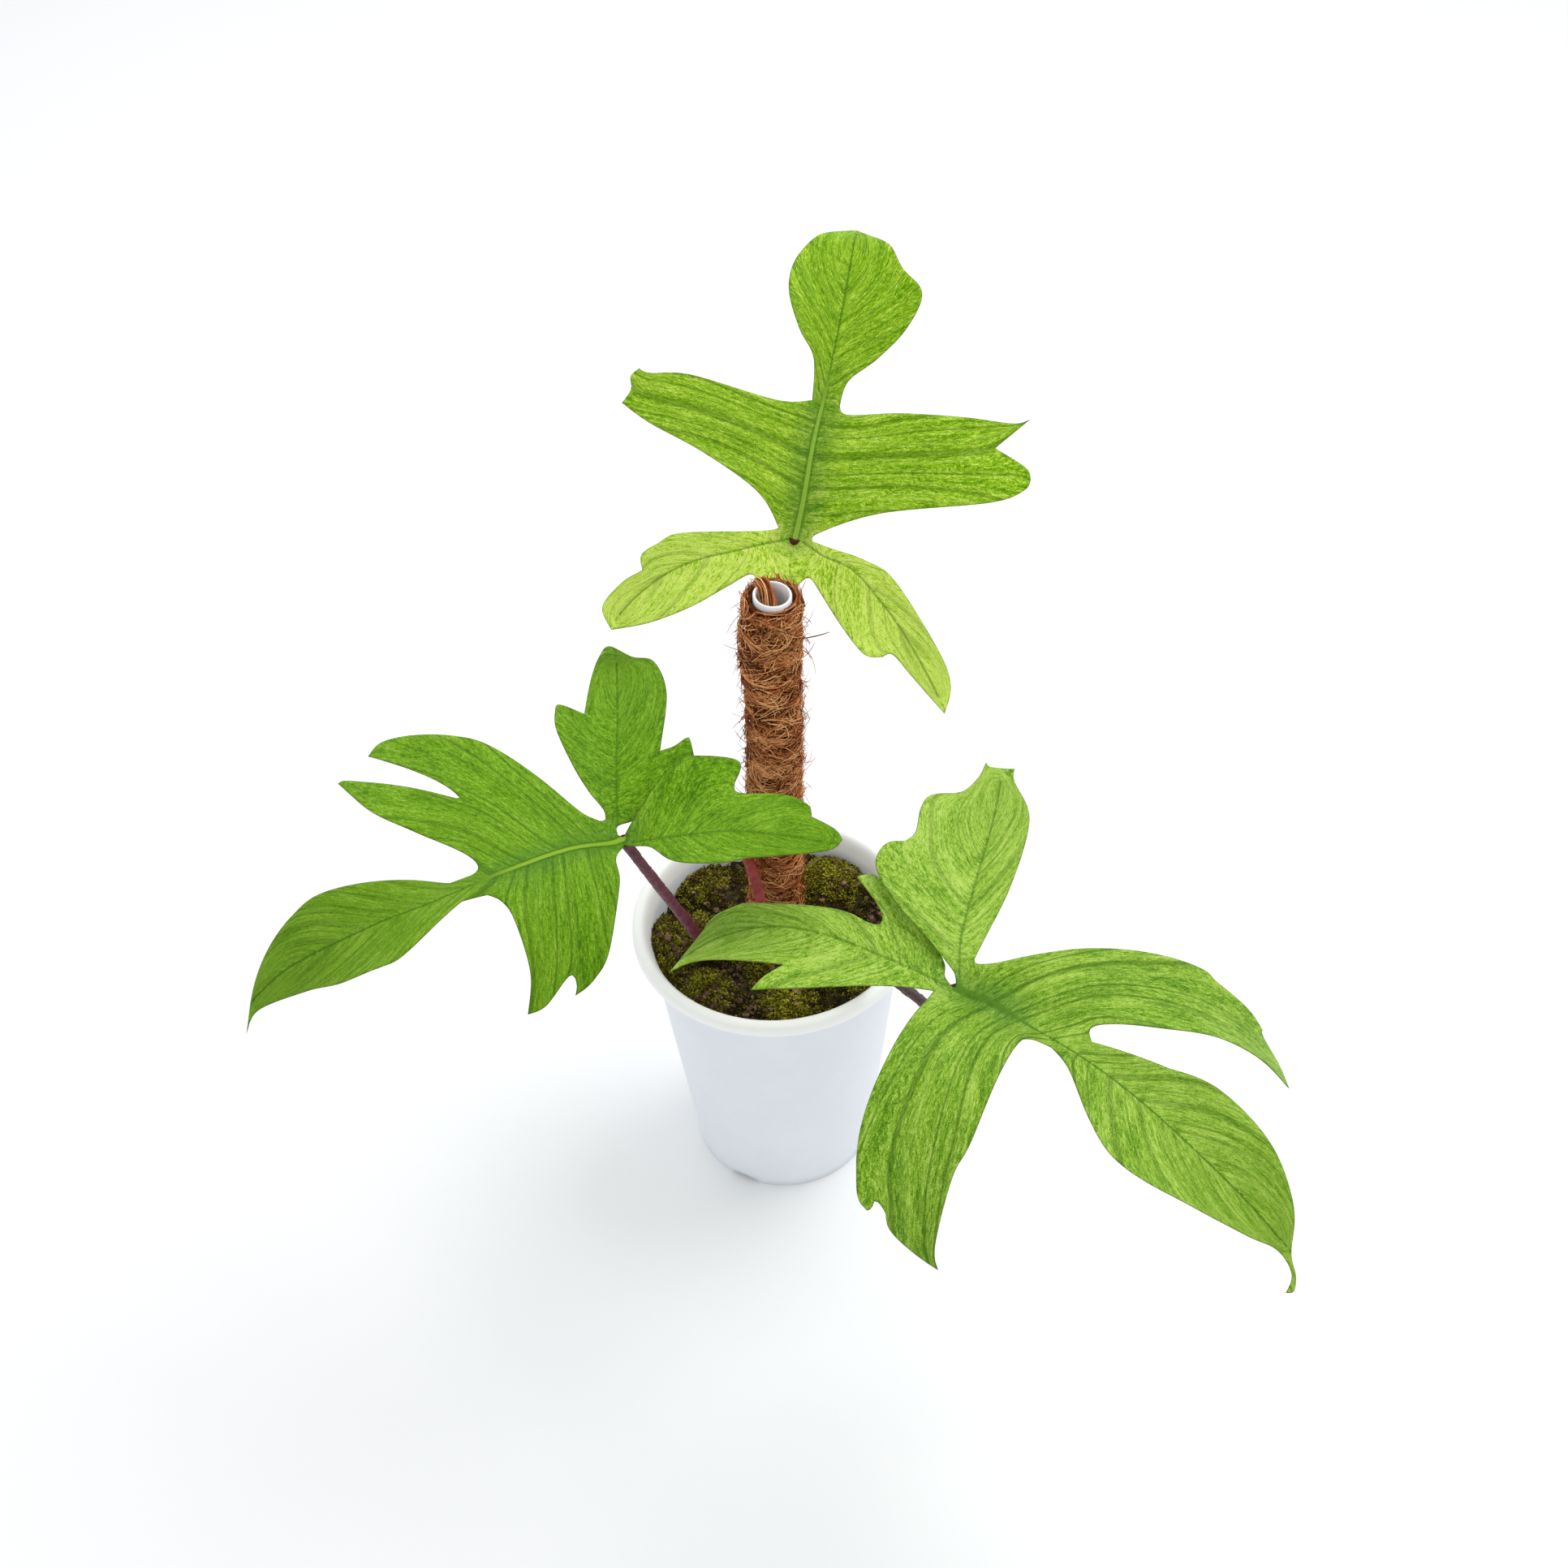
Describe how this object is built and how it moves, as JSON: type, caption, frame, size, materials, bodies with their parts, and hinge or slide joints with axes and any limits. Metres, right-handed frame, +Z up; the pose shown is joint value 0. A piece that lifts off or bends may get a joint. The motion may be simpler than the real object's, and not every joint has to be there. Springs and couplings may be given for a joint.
{
  "type": "potted florida ghost philodendron",
  "caption": "Young climbing aroid with deeply lobed leaves on long stalks beside a coir moss pole, growing in a small white nursery pot with a moss top.",
  "frame": {"origin": "centre of the pot's underside, on the pad in the middle of its floor", "axes": "+Z up; the reference view looks along +Y, with +X to its right"},
  "size_m": [0.3516, 0.3278, 0.3829],
  "materials": {
    "pot_plastic": "satin white",
    "mossy_soil": "rough moss over peat and bark",
    "coir": "coarse matted fibre",
    "tube_plastic": "smooth white",
    "stalk_maroon": "scurfy satin",
    "stalk_brown": "pebbled",
    "stalk_red": "satin",
    "leaf_dark": "soft gloss, mottled",
    "leaf_mottled": "soft gloss, mottled",
    "leaf_light": "soft gloss, mottled"
  },
  "bodies": {
    "root": {"pot": "pot_plastic", "soil": "mossy_soil", "coir_sleeve": "coir", "pole_tube": "tube_plastic", "stalk_left": "stalk_maroon", "stalk_right": "stalk_brown", "stalk_top": "stalk_red", "leaf_left": "leaf_dark", "leaf_right": "leaf_mottled", "leaf_top": "leaf_light"}
  },
  "joints": []
}
